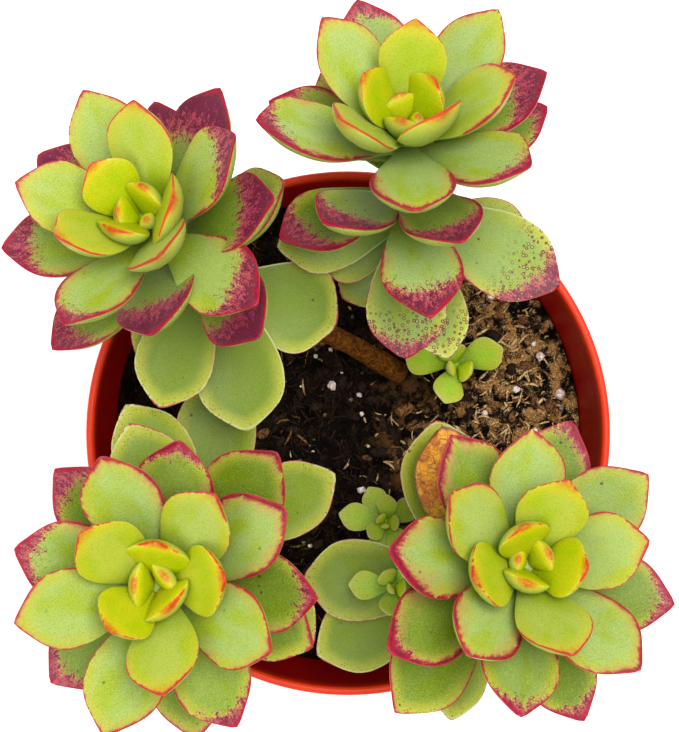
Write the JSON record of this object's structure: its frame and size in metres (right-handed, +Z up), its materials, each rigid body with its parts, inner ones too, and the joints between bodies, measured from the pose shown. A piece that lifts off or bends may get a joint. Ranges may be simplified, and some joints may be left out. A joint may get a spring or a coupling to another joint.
{
  "type": "potted echeveria",
  "caption": "Succulent with fleshy leaf rosettes on leaning woody stems, and small offsets, in potting soil inside a round plastic nursery pot.",
  "frame": {"origin": "centre of the pot's base, on the surface that the pot stands on", "axes": "+Z up; +X to the right and +Y to the top of a picture taken from straight above"},
  "size_m": [0.1203, 0.1335, 0.1526],
  "materials": {
    "terracotta_plastic": "satin terracotta-orange polypropylene",
    "potting_soil": "rough dark peat with bark chips and perlite",
    "bark": "rough brown bark",
    "leaf": "waxy, with red margins and tips",
    "young_leaf": "waxy"
  },
  "bodies": {
    "root": {"pot": "terracotta_plastic", "soil": "potting_soil", "stem_a": "bark", "stem_b": "bark", "stem_c": "bark", "stem_d": "bark", "rosette_a": "leaf", "rosette_b": "leaf", "rosette_c": "leaf", "rosette_d": "leaf", "pup_e": "young_leaf", "pup_f": "young_leaf"}
  },
  "joints": []
}
